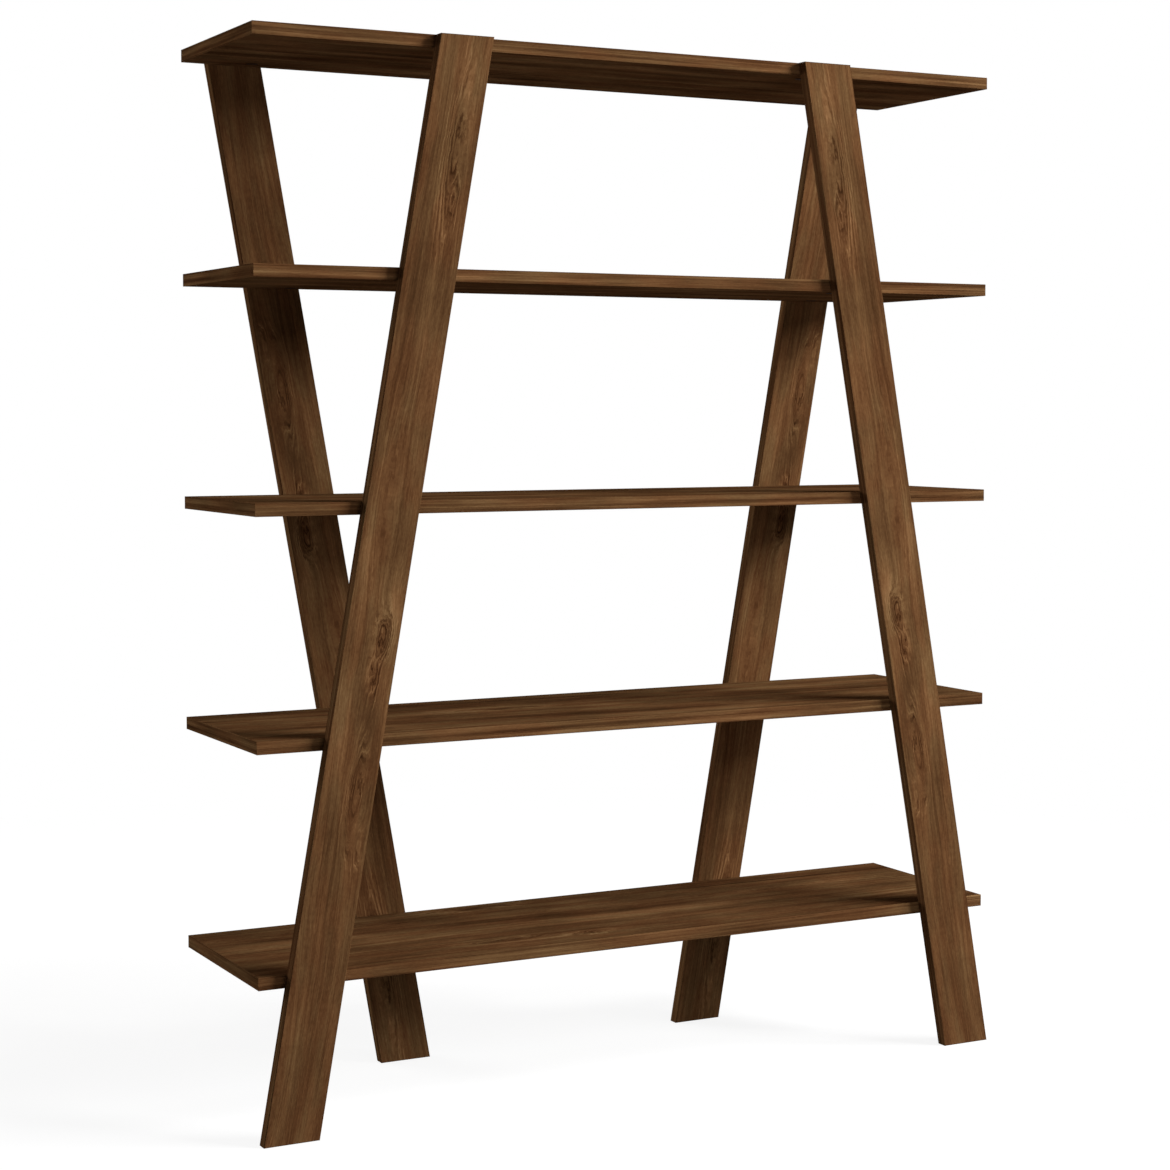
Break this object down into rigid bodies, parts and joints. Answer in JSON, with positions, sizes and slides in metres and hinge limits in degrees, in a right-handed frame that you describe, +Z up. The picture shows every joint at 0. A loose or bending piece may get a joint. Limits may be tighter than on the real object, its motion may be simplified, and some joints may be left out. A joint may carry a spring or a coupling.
{
  "type": "ladder shelf",
  "caption": "Open shelving unit: plain walnut-finish boards bolted between a pair of front legs that lean in and a pair of rear legs that lean out towards the top.",
  "frame": {"origin": "on the floor, in the middle of the footprint", "axes": "+Z up, +X along the shelves to the right when seen from the front, +Y to the rear (the front legs are on the -Y side)"},
  "size_m": [1.2, 0.336, 1.508],
  "materials": {
    "shelf_board": "satin",
    "leg_board": "satin",
    "bolt_steel": "satin",
    "cam_zinc": "satin",
    "dowel_beech": "matte",
    "cap_plastic": "matte"
  },
  "bodies": {
    "root": {"shelf_bottom": "shelf_board", "shelf_lower": "shelf_board", "shelf_middle": "shelf_board", "shelf_upper": "shelf_board", "shelf_top": "shelf_board", "leg_front_left": "leg_board", "leg_front_right": "leg_board", "leg_rear_left": "leg_board", "leg_rear_right": "leg_board", "bolt_bottom_front_left": "bolt_steel", "cam_bottom_front_left": "cam_zinc", "bolt_bottom_front_right": "bolt_steel", "cam_bottom_front_right": "cam_zinc", "bolt_bottom_rear_left": "bolt_steel", "cam_bottom_rear_left": "cam_zinc", "bolt_bottom_rear_right": "bolt_steel", "cam_bottom_rear_right": "cam_zinc", "bolt_lower_front_left": "bolt_steel", "cam_lower_front_left": "cam_zinc", "bolt_lower_front_right": "bolt_steel", "cam_lower_front_right": "cam_zinc", "bolt_lower_rear_left": "bolt_steel", "cam_lower_rear_left": "cam_zinc", "bolt_lower_rear_right": "bolt_steel", "cam_lower_rear_right": "cam_zinc", "bolt_middle_front_left": "bolt_steel", "cam_middle_front_left": "cam_zinc", "bolt_middle_front_right": "bolt_steel", "cam_middle_front_right": "cam_zinc", "bolt_middle_rear_left": "bolt_steel", "cam_middle_rear_left": "cam_zinc", "bolt_middle_rear_right": "bolt_steel", "cam_middle_rear_right": "cam_zinc", "bolt_upper_front_left": "bolt_steel", "cam_upper_front_left": "cam_zinc", "bolt_upper_front_right": "bolt_steel", "cam_upper_front_right": "cam_zinc", "bolt_upper_rear_left": "bolt_steel", "cam_upper_rear_left": "cam_zinc", "bolt_upper_rear_right": "bolt_steel", "cam_upper_rear_right": "cam_zinc", "bolt_top_front_left": "bolt_steel", "cam_top_front_left": "cam_zinc", "bolt_top_front_right": "bolt_steel", "cam_top_front_right": "cam_zinc", "bolt_top_rear_left": "bolt_steel", "cam_top_rear_left": "cam_zinc", "bolt_top_rear_right": "bolt_steel", "cam_top_rear_right": "cam_zinc"}
  },
  "joints": []
}
